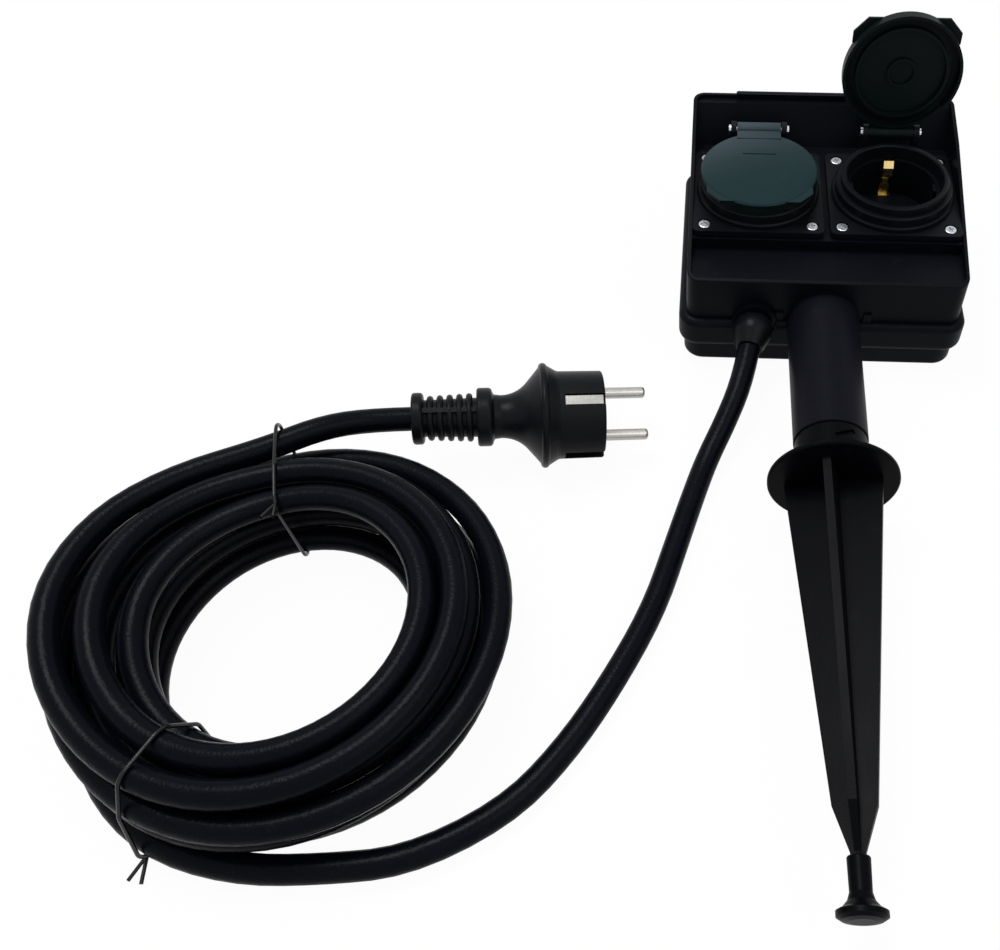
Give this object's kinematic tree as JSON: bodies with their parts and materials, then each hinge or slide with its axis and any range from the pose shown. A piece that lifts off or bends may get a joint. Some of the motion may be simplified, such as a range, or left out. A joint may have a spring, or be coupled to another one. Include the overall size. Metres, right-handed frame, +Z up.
{
  "type": "garden socket spike with lead",
  "caption": "Garden socket spike: outlet box with hinged round lids on a stem and finned ground spike, with a coiled rubber lead and earthed plug.",
  "frame": {"origin": "floor level under the middle of box and spike, on the stem's axis", "axes": "+X to the right of the sockets, +Y from the spike's tip to the box, +Z up"},
  "size_m": [0.3441, 0.3598, 0.1235],
  "materials": {
    "housing_black": "fine satin moulding",
    "insert_black": "satin",
    "stem_black": "semi gloss",
    "spike_black": "satin",
    "lid_green": "satin",
    "seal_rubber": "matt",
    "boot_rubber": "matt",
    "cable_rubber": "matt, dusty",
    "plug_rubber": "satin",
    "core_jacket": "smooth",
    "tie_jacket": "smooth",
    "zinc_steel": "bright zinc",
    "pin_steel": "bright",
    "nickel": "nickel plated",
    "brass": "bright"
  },
  "bodies": {
    "box": {"front_housing": "housing_black", "rear_housing": "housing_black", "housing_gasket": "seal_rubber", "housing_screws": "zinc_steel", "stem": "stem_black", "cable_boot": "boot_rubber", "cord_clamp": "insert_black", "cord_clamp_screws": "zinc_steel", "inner_leads": "core_jacket", "cable_lead": "cable_rubber", "cable_coil": "cable_rubber", "cable_tail": "cable_rubber", "plug_body": "plug_rubber", "plug_pins": "nickel", "plug_earth_contacts": "nickel", "tie_upper": "tie_jacket", "tie_lower": "tie_jacket", "socket_insert_left": "insert_black", "socket_gasket_left": "seal_rubber", "socket_screws_left": "zinc_steel", "earth_clip_left": "brass", "contact_pair_left": "brass", "socket_back_left": "insert_black", "hinge_pin_left": "pin_steel", "socket_insert_right": "insert_black", "socket_gasket_right": "seal_rubber", "socket_screws_right": "zinc_steel", "earth_clip_right": "brass", "contact_pair_right": "brass", "socket_back_right": "insert_black", "hinge_pin_right": "pin_steel"},
    "lid_left_body": {"lid_left": "lid_green", "lid_seal_left": "seal_rubber"},
    "lid_right_body": {"lid_right": "lid_green", "lid_seal_right": "seal_rubber"},
    "spike_body": {"spike": "spike_black"},
    "tip_cap_body": {"tip_cap": "spike_black"}
  },
  "joints": [
    {"name": "lid_left_hinge", "type": "hinge", "parent": "box", "child": "lid_left_body", "pos_m": [-0.0304, 0.15405, 0.0678], "axis": [-1, 0, 0], "range_deg": [0, 95]},
    {"name": "lid_right_hinge", "type": "hinge", "parent": "box", "child": "lid_right_body", "pos_m": [0.0304, 0.15405, 0.0678], "axis": [-1, 0, 0], "range_deg": [-95, 0]},
    {"name": "spike_bayonet", "type": "hinge", "parent": "box", "child": "spike_body", "pos_m": [0, -0.00745, 0.0262], "axis": [0, 1, 0], "range_deg": [0, 60]},
    {"name": "tip_cap_pull", "type": "slide", "parent": "spike_body", "child": "tip_cap_body", "axis": [0, -1, 0], "range_m": [0, 0.011]}
  ]
}
